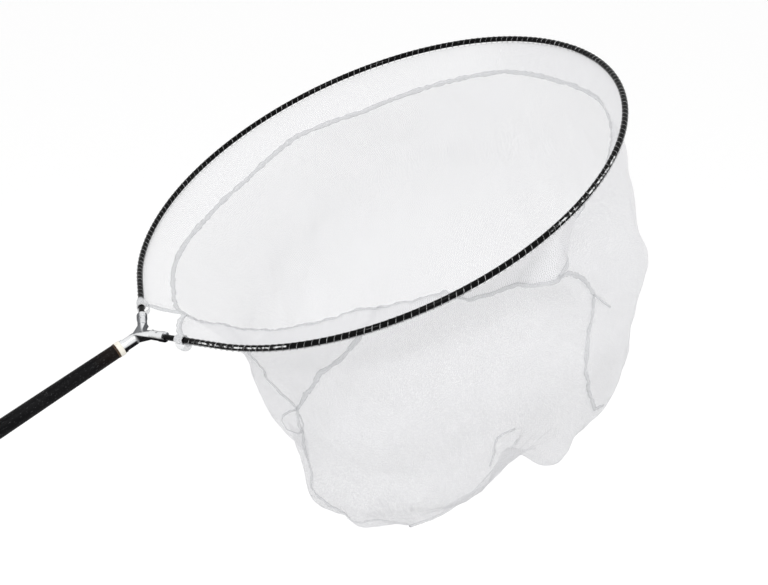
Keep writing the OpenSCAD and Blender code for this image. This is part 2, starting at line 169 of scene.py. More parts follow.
# Each level: share of the depth, half length and half width as shares of the hoop's
# radius, shift away from the handle, shift aside, slope in degrees, sag in the middle
LEVELS = [[.25, .84, .88, .67, .02, 26, 0], [.44, .83, .865, .915, .025, 24, 0],
          [.60, .76, .78, 1.045, .025, 22, 0], [.74, .72, .69, 1.10, .025, 22, 0],
          [.845, .63, .525, 1.06, .02, 25, -19], [.925, .46, .335, 1.04, -.015, 27, -11],
          [1.0, .30, .005, 1.0, -.115, 27, 23]]
DEPTH, SHIFT = 376.0, 102.0  # of the lowest level
NET_DROP = 4.6     # from the rod's middle down to the netting's edge
TIE_DROP = 5.8     # the same at the ties
TIE_ANGLE = 12.8   # from the handle to a tie, in degrees
KEEL = len(LEVELS) + 1
# The free edge across the handle's gap: angle from the handle, share of the band's width
GAP_EDGE = [[-12.8, 0], [-11.5, .2], [-10, .34], [-8.5, .5], [-7, .7], [-5.5, .9], [-4, .9],
            [-1, .56], [2, .32], [5, .14], [8, .04], [12.8, 0]]
# The seams: [level, angle]
LEFT = [[1, -120], [1.2, -125], [1.36, -131], [1.52, -139], [1.68, -149], [2, -159],
        [2.5, -168.5], [3.04, -170], [3.84, -177], [4.6, -182], [5.1, -184], [5.4, -178],
        [5.8, -168], [6.4, -166], [7.2, -174], [8, -180]]
RIGHT = [[1, -79], [1.28, -77], [1.76, -76], [2.2, -75], [2.56, -78], [2.84, -81],
         [3.16, -83], [3.84, -79], [4.44, -74], [4.9, -60], [5.4, -40], [6, -15], [7, 0], [8, 0]]
GUSSET = [[1, -167], [1.28, -168], [1.52, -171], [2.1, -178], [2.3, -174], [2.5, -168.5]]
GUSSET_END = 2.5


def from_handle(angle):
    """How far an angle lies from the handle, 0 to 180."""
    return abs(angle % 360 - 180)


def net_edge(angle):
    """The netting's upper edge: under the rod all round, and across the gap."""
    p = from_handle(angle)
    r = HOOP_R if p >= OPEN else HOOP_R / cos(radians(OPEN - max(p, TIE_ANGLE)))
    drop = NET_DROP + (TIE_DROP - NET_DROP) * smooth((OPEN - p) / (OPEN - TIE_ANGLE))
    if p < TIE_ANGLE:
        r *= cos(radians(TIE_ANGLE)) / cos(radians(p))
    turn = radians(angle)
    return in_plane(r * cos(turn), r * sin(turn)) - UPRIGHT * drop


def band_foot(angle):
    """The band's lower edge."""
    lean = radians(table(signed(angle), BAND))
    width = BAND_WIDTH * table(signed(angle), BAND, 2)
    r = HOOP_R - width * sin(lean)
    turn = radians(angle)
    return in_plane(r * cos(turn), r * sin(turn)) - Vector((0, 0, width * cos(lean)))


def oval(level, angle):
    """A point of a level below the band, or of the band's foot above them all."""
    if level <= 0:
        return band_foot(angle)
    drop, length, width, shift, aside, slope, sag = LEVELS[min(level, len(LEVELS)) - 1]
    x = length * HOOP_R * cos(radians(angle))
    slope = radians(slope)
    return Vector((x * cos(slope) + shift * SHIFT,
                   width * HOOP_R * sin(radians(angle)) + aside * HOOP_R,
                   x * sin(slope) - drop * DEPTH - sag * sin(radians(angle)) ** 2))


def curve_through(p, q, r, s, u):
    """From q at u = 0 to r at u = 1, smooth with the points before and after."""
    return 0.5 * (2 * q + (r - p) * u + (2 * p - 5 * q + 4 * r - s) * u * u
                  + (3 * q - p - 3 * r + s) * u * u * u)


def smooth_bag(angle, level):
    if level <= 1:
        return net_edge(angle).lerp(band_foot(angle), level)
    w = min(level - 1, len(LEVELS) - 0.001)
    k = floor(w)
    return curve_through(*(oval(k + i, angle) for i in (-1, 0, 1, 2)), w - k)


LEVEL_NEAR, ANGLE_NEAR = 0.03, 0.6  # small steps to either side, for a direction


def outwards(angle, level):
    """The direction out of the bag."""
    above, under = max(level - LEVEL_NEAR, 0), level + LEVEL_NEAR
    down = smooth_bag(angle, under) - smooth_bag(angle, above)
    sideways = smooth_bag(angle + ANGLE_NEAR, level) - smooth_bag(angle - ANGLE_NEAR, level)
    normal = down.cross(sideways)
    return normal.normalized() if normal.length > 1e-9 else Vector((0, 0, -1))


# %% [markdown]
# ## Folds
# Soft netting is never an exact oval. It has fine gathers under the lashing, and below
# the band long soft folds, crumples across them and a fine ripple. All four are small
# moves along the cloth's normal, made of turbulence that is stretched down the cloth,
# so that folds run downwards as they do under gravity. A few single places then hang
# out further or are drawn in by a seam. Those are pulls: each moves the cloth round
# one point, and fades out softly with the distance from it.

# %% How far the cloth stands out from its smooth shape
# The heights of gathers, ripple, long folds and crumples, in millimetres
GATHER, RIPPLE, LONG_FOLD, CRUMPLE = 1.3, 1.3, 8.5, 3.2


def fold_height(angle, level):
    """Each turbulence is as fine as the numbers that x, y and level are multiplied by."""
    turn = radians(angle)
    x, y = cos(turn), sin(turn)
    gathers = noise.noise(Vector((x * 26, y * 26, level * 0.8)))
    long_folds = noise.noise(Vector((x * 3.1 + 7, y * 3.1, level * 0.42)))
    crumple = noise.noise(Vector((x * 7.3, y * 7.3 + 3, level * 1.4)))
    ripple = noise.noise(Vector((x * 19, y * 19 + 5, level * 3.4)))
    off_rod = between(level, 0.1, 0.9)
    below_band = between(level, 1, 2.2)
    off_keel = 1 - 0.8 * between(level, 7.2, 8)
    fine = gathers * GATHER * off_rod * (1 - 0.6 * below_band) + ripple * RIPPLE * below_band
    return fine + (long_folds * LONG_FOLD + crumple * CRUMPLE) * below_band * off_keel


# Places where the cloth hangs out or is drawn in: [x, y, z, how far in x, y and z, reach]
PULLS = [[225, -120, 35, 9, -5, 0, 20],     # stands out beside the rod
         [265, -130, -95, 8, -3, 3, 20],    # bulge below that
         [275, -115, -70, -5, 2, -2, 20],   # and the dip above the bulge
         [205, -200, -140, -5, 3, 0, 20],   # dip in the front right edge
         [120, -190, -268, 4, -5, -4, 20],  # lobe in front of the notch
         [97, -181, -275, 0, -7, -17, 14],  # whose tip hangs lowest
         [77, -175, -293, -7, 16, 30, 20],  # the notch in the lower edge
         [100, -165, -285, -3, 5, 8, 15],   # which runs on up the cloth
         [105, -110, -330, -2, 5, 8, 15],   # and behind the lobe
         [55, -65, -390, 1, 2, 6, 20],      # lower edge, held up by the seam
         [-35, -35, -390, -3, 0, -4, 20],   # the low corner
         [-60, 30, -375, -8, 0, -8, 20],    # left of the corner
         [-80, 45, -320, 16, -4, 10, 20]]   # drawn in above it
FADED = 3.2  # a pull has faded out at this many times its reach
FLAT = 1e-4  # a fold lower than this is none


def bag(angle, level):
    """A point of the cloth, with its folds and pulls."""
    point = smooth_bag(angle, level)
    height = fold_height(angle, level)
    if abs(height) > FLAT:
        point = point + outwards(angle, level) * height
    moved = point.copy()
    if level > 1:
        for x, y, z, dx, dy, dz, reach in PULLS:
            near = (x - point.x) ** 2 + (y - point.y) ** 2 + (z - point.z) ** 2
            if near < (FADED * reach) ** 2:
                share = exp(-near / (2 * reach ** 2)) * between(level, 1, 1.2)
                moved += Vector((dx, dy, dz)) * share
    return moved


# %% [markdown]
# ## Two ways to make a soft piece
# A sheet is a flat grid that is laid onto a shape, the way a panel is cut flat and
# then hung. The grid keeps cloth coordinates in metres, measured along its own rows
# and columns, so that the weave stays one size on the narrow and the wide places.
# A strand is the same grid rolled into a tube round a line: a thread, a cord or the
# flat bound ridge of a seam, depending on its two half widths.

# %% A sheet and a strand


def new_piece(name, mesh, finish, nodes=()):
    """A soft piece of the head; nodes are the solids that it is shown in place of."""
    data = bpy.data.meshes.new(name)
    for face in mesh.faces:
        face.smooth = True
    mesh.to_mesh(data)
    mesh.free()
    data.materials.append(finish.material)
    piece = bpy.data.objects.new(name, data)
    bpy.context.scene.collection.objects.link(piece)
    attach(piece, "net_head")
    if nodes:
        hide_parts(*nodes)
    print(f"{name}: {len(data.vertices)} points, {len(data.polygons)} faces")
    return piece


def grid(columns, rows, place):
    """A grid of columns x rows faces; place(s, t) gives each point, s and t 0 to 1."""
    mesh = bmesh.new()
    uv = mesh.loops.layers.uv.new("cloth")
    bmesh.ops.create_grid(mesh, x_segments=columns, y_segments=rows, size=0.5)
    key = {v: (round((v.co.x + 0.5) * columns), round((v.co.y + 0.5) * rows)) for v in mesh.verts}
    spots = {k: place(k[0] / columns, k[1] / rows) for k in key.values()}
    across, down = {}, {}
    middle = columns // 2
    for j in range(rows + 1):
        across[middle, j] = 0.0
        for i in range(middle + 1, columns + 1):
            across[i, j] = across[i - 1, j] + (spots[i, j] - spots[i - 1, j]).length
        for i in range(middle - 1, -1, -1):
            across[i, j] = across[i + 1, j] - (spots[i, j] - spots[i + 1, j]).length
    for i in range(columns + 1):
        down[i, 0] = 0.0
        for j in range(1, rows + 1):
            down[i, j] = down[i, j - 1] + (spots[i, j] - spots[i, j - 1]).length
    for v in mesh.verts:
        v.co = spots[key[v]]
    for face in mesh.faces:
        for loop in face.loops:
            loop[uv].uv = (across[key[loop.vert]], down[key[loop.vert]])
    return mesh


def strand(line, half_wide, half_thick, sides=8, uneven=0.0):
    """A tube round a line of (point, up) pairs in millimetres; up is across its width."""
    count = len(line) - 1

    def place(s, t):
        i = round(s * count)
        point, up = line[i]
        ahead = (line[min(i + 1, count)][0] - line[max(i - 1, 0)][0]).normalized()
        side = ahead.cross(up).normalized()
        up = side.cross(ahead)
        turn = 2 * pi * t
        lump = 1 + uneven * noise.noise(point * 0.16 + Vector((0, 0, half_wide)))
        return to_world(point + (side * half_wide * cos(turn) + up * half_thick * sin(turn)) * lump)

    mesh = grid(count, sides, place)
    bmesh.ops.remove_doubles(mesh, verts=mesh.verts, dist=1e-6)
    ends = [e for e in mesh.edges if e.is_boundary]
    bmesh.ops.holes_fill(mesh, edges=ends, sides=0)
    bmesh.ops.recalc_face_normals(mesh, faces=mesh.faces)
    return mesh


# %% [markdown]
# ## Writing finishes
# Each finish is a small sum of procedural patterns. Written node by node it would be
# hard to read, so a value in a material is wrapped in a class on which ordinary
# arithmetic works, and one method adds any other node.

# %% A value and a finish


class Value:
    """A number or colour in a finish; arithmetic on it adds Math nodes."""

    def __init__(self, finish, socket):
        self.finish, self.socket = finish, socket

    def maths(self, operation, *values):
        node = self.finish.tree.nodes.new("ShaderNodeMath")
        node.operation = operation
        for place, value in enumerate(values):
            self.finish.feed(node.inputs[place], value)
        return Value(self.finish, node.outputs[0])

    def __add__(self, other):
        return self.maths("ADD", self, other)

    def __sub__(self, other):
        return self.maths("SUBTRACT", self, other)

    def __rsub__(self, other):
        return self.maths("SUBTRACT", other, self)

    def __mul__(self, other):
        return self.maths("MULTIPLY", self, other)

    def __neg__(self):
        return self.maths("MULTIPLY", self, -1.0)

    def __abs__(self):
        return self.maths("ABSOLUTE", self)

    __radd__ = __add__

    def sine(self):
        return self.maths("SINE", self)

    def most(self, other):
        return self.maths("MAXIMUM", self, other)

    def turn_about_x(self, z):
        """With self as y: the angle round the handle's line."""
        return z.maths("ARCTAN2", z, self)

    def step(self, low, high):
        """0 below low, 1 above high, soft between."""
        return self.finish.add("ShaderNodeMapRange", {"Value": self, "From Min": low, "From Max": high},
                               interpolation_type="SMOOTHSTEP")


class Finish:
    """A material and the short way of writing it."""

    def __init__(self, name, **settings):
        self.material = bpy.data.materials.new(name)
        self.material.use_nodes = True
        self.tree = self.material.node_tree
        self.surface = self.tree.nodes["Principled BSDF"]
        for socket, value in settings.items():
            self.put(socket.replace("_", " "), value)

    def feed(self, socket, value):
        if isinstance(value, Value):
            self.tree.links.new(value.socket, socket)
        elif isinstance(value, (tuple, list)) and socket.type == "RGBA":
            socket.default_value = (*value[:3], 1.0)
        else:
            socket.default_value = value

    def put(self, socket, value):
        """Sets or links one input of the surface."""
        self.feed(self.surface.inputs[socket], value)

    def add(self, kind, inputs=(), output=0, **settings):
        """Any other node; settings are its attributes."""
        node = self.tree.nodes.new(kind)
        for name, value in settings.items():
            setattr(node, name, value)
        for name, value in dict(inputs).items():
            self.feed(node.inputs[name], value)
        return Value(self, node.outputs[output])

    def mix(self, share, a, b):
        """Colour a where share is 0, b where it is 1, through the node's colour sockets."""
        node = self.tree.nodes.new("ShaderNodeMix")
        node.data_type = "RGBA"
        for place, value in ((0, share), (6, a), (7, b)):
            self.feed(node.inputs[place], value)
        return Value(self, node.outputs[2])

    def cloth(self):
        """The piece's own cloth coordinates, in metres."""
        return self.add("ShaderNodeUVMap", uv_map="cloth")

    def place(self):
        """Object coordinates turned so that X runs along the handle and Z up from it."""
        spot = self.add("ShaderNodeTexCoord", output="Object")
        return self.add("ShaderNodeMapping", {"Vector": spot, "Rotation": (0, PITCH, 0)})

    def parts(self, vector):
        node = self.tree.nodes.new("ShaderNodeSeparateXYZ")
        self.feed(node.inputs[0], vector)
        return [Value(self, out) for out in node.outputs]

    def stretched(self, vector, scale):
        return self.add("ShaderNodeVectorMath", {0: vector, 1: scale}, operation="MULTIPLY")

    def turbulence(self, vector, scale, detail=2.0, roughness=0.5):
        return self.add("ShaderNodeTexNoise", {"Vector": vector, "Scale": scale, "Detail": detail,
                                               "Roughness": roughness})

    def relief(self, height, depth):
        """Bump, depth in metres for a height of 1."""
        self.put("Normal", self.add("ShaderNodeBump", {"Height": height, "Distance": depth}))


def dress(node, finish):
    """Gives a solid its finish."""
    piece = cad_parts[node]
    if not piece.material_slots:
        piece.data.materials.append(finish.material)
    for place in piece.material_slots:
        place.material = finish.material
    print(f"{node}: {finish.material.name}")


# %% [markdown]
# ## Handle tubes
# The tubes are wrapped carbon and glass, sanded and coated matt. Close by, the coat
# has light specks and a faint weave that winds round the tube, and the sheen breaks
# up into dull and less dull patches. The upper tube goes brown towards its tip, where
# the coat is thin over the resin.

# %% Charcoal tubes
WEAVE = 1150       # of the wrapped fibres, in radians a metre along the tube
WEAVE_STARTS = 6   # fibre bundles side by side round it
TIP = (HOOP.length / MM + CROSSING - NECK - JOINT) * MM
CHARCOAL = ((0.002, 0.002, 0.0025), (0.010, 0.010, 0.0105))
SPECK = (0.085, 0.086, 0.09)
THIN_COAT = (0.022, 0.014, 0.010)


def tube_finish(name, dark, light, tip=None):
    """tip is where the tube ends, if its coat is thin there."""
    coat = Finish(name, Specular_IOR_Level=0.06)
    spot = coat.place()
    x, y, z = coat.parts(spot)
    lay = x * WEAVE
    starts = y.turn_about_x(z) * WEAVE_STARTS
    winding = (lay + starts).sine() * (lay - starts).sine()
    specks = coat.turbulence(coat.stretched(spot, (0.5, 1, 1)), 650, 3, 0.7).step(0.56, 0.72)
    clouds = coat.turbulence(coat.stretched(spot, (0.35, 1, 1)), 60, 3, 0.6).step(0.3, 0.75)
    colour = coat.mix(clouds * 0.6, dark, light)
    colour = coat.mix(specks * 0.55, colour, SPECK)
    if tip:
        brown = x.step(tip - 0.03, tip - 0.004) * (0.25 + clouds * 0.6)
        colour = coat.mix(brown, colour, THIN_COAT)
    coat.put("Base Color", colour)
    coat.put("Roughness", 0.40 + clouds * 0.2 + specks * 0.12)
    coat.relief(winding * 0.25 + specks * 0.5 + clouds * 0.4, 0.00009)
    return coat


dress("upper_tube", tube_finish("matt_charcoal_upper", *CHARCOAL, tip=TIP))
dress("lower_tube", tube_finish("matt_charcoal_lower", *CHARCOAL))

# %% [markdown]
# ## Grip, butt cap, ring and collar
# The grip is closed-cell foam: matt, with fine pores and soft dents from use. The cap
# is moulded rubber with a dull bloom. The ring is turned aluminium with fine lines
# round it. The collar that the twist lock bears on is moulded plastic with ribs for
# the fingers, which are too small to model and stand in its relief.

# %% Foam, rubber, turned metal and ribbed plastic
RIBS = 40                                    # round the collar
RIBBED = ((0.492, 0.4945), (0.512, 0.5145))  # where they start and end, along the handle
foam = Finish("grip_foam", Roughness=0.85, Specular_IOR_Level=0.25)
spot = foam.place()
pores = foam.add("ShaderNodeTexVoronoi", {"Vector": spot, "Scale": 1300.0}).step(0.15, 0.55)
dents = foam.turbulence(spot, 45, 3)
foam.put("Base Color", foam.mix(pores * 0.6 + dents * 0.3, (0.010, 0.010, 0.011), (0.032, 0.032, 0.034)))
foam.put("Roughness", 0.78 + dents * 0.15)
foam.relief(pores * 0.6 + dents * 0.8, 0.00025)
dress("grip", foam)

rubber = Finish("butt_rubber", Roughness=0.6, Specular_IOR_Level=0.35)
spot = rubber.place()
bloom = rubber.turbulence(spot, 90, 4, 0.65)
rubber.put("Base Color", rubber.mix(bloom.step(0.4, 0.8), (0.010, 0.010, 0.011), (0.030, 0.029, 0.028)))
rubber.put("Roughness", 0.5 + bloom * 0.3)
rubber.relief(rubber.turbulence(spot, 900, 2), 0.00006)
dress("butt_cap", rubber)

turned = Finish("turned_aluminium", Metallic=1.0, Roughness=0.3)
spot = turned.place()
lines = turned.turbulence(turned.stretched(spot, (1, 0.02, 0.02)), 5200, 1)
wear = turned.turbulence(spot, 160, 3)
turned.put("Base Color", turned.mix(wear, (0.50, 0.51, 0.52), (0.66, 0.67, 0.68)))
turned.put("Roughness", 0.22 + wear * 0.2)
turned.relief(lines, 0.00004)
dress("grip_ring", turned)

collar = Finish("collar_plastic", Roughness=0.45, Specular_IOR_Level=0.45)
spot = collar.place()
x, y, z = collar.parts(spot)
ribs = (y.turn_about_x(z) * RIBS).sine().step(-0.4, 0.5)
middle = x.step(*RIBBED[0]) * (1 - x.step(*RIBBED[1]))
grain = collar.turbulence(spot, 1500, 2)
collar.put("Base Color", collar.mix(grain, (0.008, 0.008, 0.009), (0.020, 0.020, 0.021)))
collar.put("Roughness", 0.38 + grain * 0.2)
collar.relief(ribs * middle + grain * 0.05, 0.0006)
dress("mouth_collar", collar)

# %% [markdown]
# ## The twist lock and the screw
# These pieces lie inside the tubes and show only when the net is taken apart. The
# sleeve is turned nylon, the core is drawn steel, the plug is moulded, and the stud
# is brass with a rolled thread, drawn as a relief.

# %% Hidden hardware


def plain_finish(name, dark, light, rough, metal=0.0):
    """Soft clouds of two near colours over a fine grain."""
    finish = Finish(name, Metallic=metal)
    spot = finish.place()
    cloud = finish.turbulence(spot, 300, 3, 0.6)
    finish.put("Base Color", finish.mix(cloud, dark, light))
    finish.put("Roughness", rough + cloud * 0.15)
    finish.relief(finish.turbulence(spot, 1500, 2), 0.00003)
    return finish


dress("expander_sleeve", plain_finish("sleeve_nylon", (0.66, 0.66, 0.62), (0.76, 0.76, 0.72), 0.4))
dress("lock_core", plain_finish("drawn_steel", (0.42, 0.43, 0.44), (0.55, 0.56, 0.57), 0.28, 1.0))
dress("upper_plug", plain_finish("plug_plastic", (0.02, 0.02, 0.022), (0.045, 0.045, 0.048), 0.45))
dress("rod_pins", plain_finish("pin_steel", (0.35, 0.36, 0.37), (0.52, 0.53, 0.54), 0.3, 1.0))

THREAD_PITCH = 0.00127                       # 20 threads an inch
THREAD_STOPS = (TIP + 0.0070, TIP + 0.0080)  # at the neck's face
brass = Finish("stud_brass", Metallic=1.0)
spot = brass.place()
x, y, z = brass.parts(spot)
thread = (x * (2 * pi / THREAD_PITCH) + y.turn_about_x(z)).sine()
tarnish = brass.turbulence(spot, 260, 3, 0.6)
brass.put("Base Color", brass.mix(tarnish, (0.60, 0.44, 0.18), (0.74, 0.58, 0.28)))
brass.put("Roughness", 0.2 + tarnish * 0.25)
brass.relief(thread * (1 - x.step(*THREAD_STOPS)), 0.0005)
dress("screw_stud", brass)

# %% [markdown]
# ## Ferrule, washer, block and rod
# The ferrule's flange is a thin ring of brown lacquered brass. The washer is turned
# from cream nylon and takes a little dirt. The block is cast alloy, tumbled bright:
# a fine cast grain and soft hammering from the tumbling. Shade is painted into the
# block's colour: painted grey shade on the web between the arms and on the outer
# flank of the far arm, and painted near-black shade under the neck and the near arm.
# The rod is painted gloss black, with dust and hairlines in the gloss.

# %% Visible hardware
lacquer = Finish("brown_lacquered_brass", Metallic=0.7)
spot = lacquer.place()
rub = lacquer.turbulence(spot, 220, 4, 0.65)
lacquer.put("Base Color", lacquer.mix(rub.step(0.45, 0.75), (0.045, 0.026, 0.016), (0.16, 0.10, 0.055)))
lacquer.put("Roughness", 0.28 + rub * 0.3)
lacquer.relief(rub, 0.00008)
dress("ferrule", lacquer)

nylon = Finish("cream_nylon", Roughness=0.42)
spot = nylon.place()
dirt = nylon.turbulence(spot, 240, 4, 0.6)
nylon.put("Base Color", nylon.mix(dirt.step(0.52, 0.85) * 0.6, (0.82, 0.79, 0.71), (0.48, 0.42, 0.32)))
nylon.put("Roughness", 0.34 + dirt * 0.25)
nylon.relief(nylon.turbulence(nylon.stretched(spot, (1, 0.05, 0.05)), 4000, 1) + dirt, 0.00003)
dress("washer", nylon)

alloy = Finish("tumbled_cast_alloy", Metallic=1.0, Specular_Tint=(0.4, 0.4, 0.41))
spot = alloy.place()
x, y, z = alloy.parts(spot)
grain = alloy.turbulence(spot, 1100, 3, 0.6)
dimples = alloy.add("ShaderNodeTexVoronoi", {"Vector": spot, "Scale": 380.0, "Smoothness": 0.8},
                    feature="SMOOTH_F1").step(0.1, 0.9)
# Distances in metres: along the handle's line from the rods' crossing, and from the
# middle line of the nearer arm, which is positive in the gap between the arms
reach = x - (TIP + (NECK + JOINT) * MM)
off_line = reach * cos(radians(OPEN)) - abs(y) * sin(radians(OPEN))
past_crossing = reach.step(-0.004, 0.001)
past_neck = reach.step(-0.012, -0.007)
# Painted shade: the web between the arms and the outer flank of the far arm are painted grey.
web_shade = (1 - abs(z).step(0.0019, 0.0026)) * off_line.step(-0.001, 0.002) * past_crossing
far_arm = y.step(-0.0020, 0.0010) * reach.step(-0.015, -0.009)
rear_flank_shade = (1 - off_line.step(-0.0012, 0.0010)) * far_arm
# Painted shade: the faces under the near arm and under the neck are painted near black.
low_flank = ((-off_line - z) * 0.707).step(0.0016, 0.0030)  # faces down and out, at 45 degrees
under_arm = low_flank * past_neck * (1 - y.step(-0.004, 0))
low_neck = (y * -0.54 + z * -0.84).step(0.0020, 0.0036)     # faces down and to the near side
under_neck = low_neck * (1 - reach.step(-0.011, -0.006))
underside_shade = under_arm.most(under_neck)
scuff = alloy.turbulence(spot, 130, 4, 0.7).step(0.5, 0.8)
colour = alloy.mix(scuff * 0.3, (0.84, 0.85, 0.86), (0.62, 0.63, 0.65))
# The grey of the painted shade on the web and on the far arm's outer flank.
colour = alloy.mix(web_shade.most(rear_flank_shade * (0.75 + grain * 0.3)), colour, (0.15, 0.155, 0.165))
# The near black of the painted shade on the undersides, with a little grain in it.
underside_shade_colour = alloy.mix(grain.step(0.5, 0.7), (0.010, 0.010, 0.011), (0.045, 0.045, 0.047))
alloy.put("Base Color", alloy.mix(underside_shade, colour, underside_shade_colour))
alloy.put("Roughness", 0.20 + grain * 0.12 + web_shade.most(rear_flank_shade).most(underside_shade) * 0.3)
alloy.relief(grain * 0.25 + dimples * 0.75, 0.00018)
dress("spreader_block", alloy)

gloss = Finish("gloss_black_paint", Specular_IOR_Level=0.07)
spot = gloss.place()
dust = gloss.turbulence(spot, 700, 3, 0.6).step(0.55, 0.9)
scratch = gloss.turbulence(gloss.stretched(spot, (0.1, 1, 1)), 2600, 1).step(0.62, 0.72)
gloss.put("Base Color", gloss.mix(dust * 0.35, (0.0012, 0.0012, 0.0014), (0.008, 0.008, 0.009)))
gloss.put("Roughness", 0.08 + dust * 0.12 + scratch * 0.15)
gloss.relief(gloss.turbulence(spot, 420, 2), 0.00003)
dress("hoop_rod", gloss)

# %% [markdown]
# ## Thread and seam binding
# The lashing is twisted white thread: strands that wind round it, with a little fuzz,
# and stretches that are worn and have gone black with dirt. The cord of the end ties
# is of the same kind, but clean. The seams are the netting's own edges, turned in and
# overlocked. They are denser and greyer than one layer, with a slanted stitch across
# them. All of them read cloth coordinates, so the twist and the stitch follow the line.

# %% White thread and overlocked seams
thread_white = Finish("white_thread", Roughness=0.75, Specular_IOR_Level=0.1)
spot = thread_white.cloth()
u, v = thread_white.parts(spot)[:2]
twist = (u * 2400 + v * 3200).sine()
fuzz = thread_white.turbulence(spot, 2200, 2)
worn = thread_white.turbulence(spot, 130, 2, 0.7).step(0.42, 0.54)
clean = thread_white.mix(fuzz, (0.70, 0.71, 0.72), (0.84, 0.84, 0.84))
thread_white.put("Base Color", thread_white.mix(worn * 0.97, clean, (0.004, 0.004, 0.004)))
thread_white.put("Roughness", 0.66 + fuzz * 0.2)
thread_white.relief(twist * 0.5 + fuzz * 0.6, 0.00010)

tie_white = Finish("white_tie_cord", Roughness=0.75)
spot = tie_white.cloth()
u, v = tie_white.parts(spot)[:2]
fibre = tie_white.turbulence(spot, 1500, 3)
tie_white.put("Base Color", tie_white.mix(fibre, (0.72, 0.725, 0.735), (0.86, 0.86, 0.865)))
tie_white.put("Roughness", 0.66 + fibre * 0.2)
tie_white.relief((u * 1900 + v * 1700).sine() * 0.6 + fibre * 0.5, 0.00018)


def seam_finish(name, dark, light, cover):
    """cover is the least share of what is behind that the sewn edge hides."""
    binding = Finish(name, Roughness=0.8, Specular_IOR_Level=0.2)
    spot = binding.cloth()
    u, v = binding.parts(spot)[:2]
    stitch = (u * 2300 + v * 900).sine()
    bunching = binding.turbulence(spot, 330, 3, 0.6)
    weave = (u * 4200).sine() * (v * 4200).sine()
    binding.put("Base Color", binding.mix(bunching * 0.7 + stitch * 0.15 + 0.1, dark, light))
    binding.put("Roughness", 0.72 + bunching * 0.2)
    binding.put("Alpha", cover + (bunching * 0.5 + weave * 0.25 - 0.2))
    binding.relief(stitch * 0.35 + bunching * 0.8, 0.00035)
    return binding


seam_grey = seam_finish("overlocked_seam", (0.61, 0.62, 0.635), (0.75, 0.76, 0.78), 0.32)
hem_white = seam_finish("turned_hem", (0.66, 0.67, 0.685), (0.79, 0.80, 0.815), 0.50)

# %% [markdown]
# ## Netting
# The netting is a knitted micro-mesh with cells two millimetres wide. One layer hides a
# little over half of what is behind it, and two layers look a shade greyer, which is
# how the seams and folds behind show through. Drawing each thread as geometry would
# take millions of faces. Irregular cells in the cloth's own coordinates decide where
# thread is: along the cells' walls. Everything else is open. On the near half of the
# band the netting is bunched up, and its cells are partly closed.

# %% Micro-mesh
CELL_WIDE, CELL_HIGH = 0.0020, 0.0016
THREAD = 0.17             # from a cell's wall to the open, as a share of the cell
GATHERED = (0.07, 0.17)   # where the bunched half fades out, past the middle of the far side


def netting_finish(name, gathered=0.0):
    """gathered is how much of the open cells is closed up in the bunched half."""
    net = Finish(name, Roughness=0.7, Specular_IOR_Level=0.25, Sheen_Weight=0.1)
    spot = net.cloth()
    cells = net.stretched(spot, (1 / CELL_WIDE, 1 / CELL_HIGH, 0))
    wall = net.add("ShaderNodeTexVoronoi", {"Vector": cells, "Scale": 1.0, "Randomness": 0.7},
                   feature="DISTANCE_TO_EDGE", voronoi_dimensions="2D")
    thread = 1 - wall.step(THREAD * 0.7, THREAD * 1.3)
    patches = net.turbulence(spot, 35, 3, 0.6)
    fibres = net.turbulence(spot, 2600, 2)
    net.put("Base Color", net.mix(fibres * 0.6 + patches * 0.4, (0.71, 0.71, 0.73), (0.80, 0.80, 0.815)))
    net.put("Roughness", 0.62 + fibres * 0.2)
    along = net.parts(spot)[0]
    closed = (1 - along.step(*GATHERED)) * gathered
    net.put("Alpha", thread.most(closed * (0.6 + patches * 0.8)) * (0.97 - patches * 0.06))
    net.relief(thread * 0.7 + fibres * 0.3, 0.00016)
    return net


netting = netting_finish("white_micro_mesh")
gathered_netting = netting_finish("gathered_micro_mesh", 0.55)

# %% [markdown]
# ## The band
# The band is a strip of netting all round, sewn to the thread at the rod and to the
# panels below. At the handle its upper edge is cut away in an arch, so that the
# netting passes under the block.


def gap_level(angle):
    """The level of the band's upper edge."""
    p = angle % 360 - 180
    return table(p, GAP_EDGE) if abs(p) < TIE_ANGLE else 0.0


def place_band(s, t):
    angle = -180 + 360 * s
    level = gap_level(angle)
    return to_world(bag(angle, level + (1 - level) * t))


mesh = grid(720, 16, place_band)
band = new_piece("band_netting", mesh, gathered_netting, ["net_band"])

# %% [markdown]
# ## The panels
# Near panel, far panel and the small gusset below the handle. Each lies between two
# seams, whose tables give the angle at each level, so that neighbours share an edge.

# %% Panels


def panel(name, left, right, end, columns, rows, node):
    def place(s, t):
        level = 1 + (end - 1) * t
        return to_world(bag(table(level, left) * (1 - s) + table(level, right) * s, level))

    return new_piece(name, grid(columns, rows, place), netting, [node])


turned_back = [[v, a + 360] for v, a in GUSSET + [row for row in LEFT if row[0] > GUSSET_END]]
rows = 160
near = panel("near_panel", LEFT, RIGHT, KEEL, 120, rows, "bag_front")
far = panel("far_panel", RIGHT, turned_back, KEEL, 220, rows, "bag_back")
gusset = panel("handle_gusset", GUSSET, LEFT, GUSSET_END, 24, 36, "bag_gusset")

# %% [markdown]
# ## The seams
# Where panels meet, both edges are turned out and overlocked into a narrow ridge that
# stands on the outside of the bag. The ridge ripples, because the thread pulls the
# soft netting together.

# %% Seam ridges
STAND, WAVER = 0.8, 0.5  # how far a ridge stands off the cloth, and how much that varies


def ridge(points):
    """A line of (point, up) along angle-and-level points, standing off the cloth."""
    line = []
    for i, (angle, level) in enumerate(points):
        normal = outwards(angle, level)
        ripple = WAVER * noise.noise(Vector((i * 0.31, level, angle * 0.05)))
        line.append((bag(angle, level) + normal * (STAND + ripple), normal))
    return line


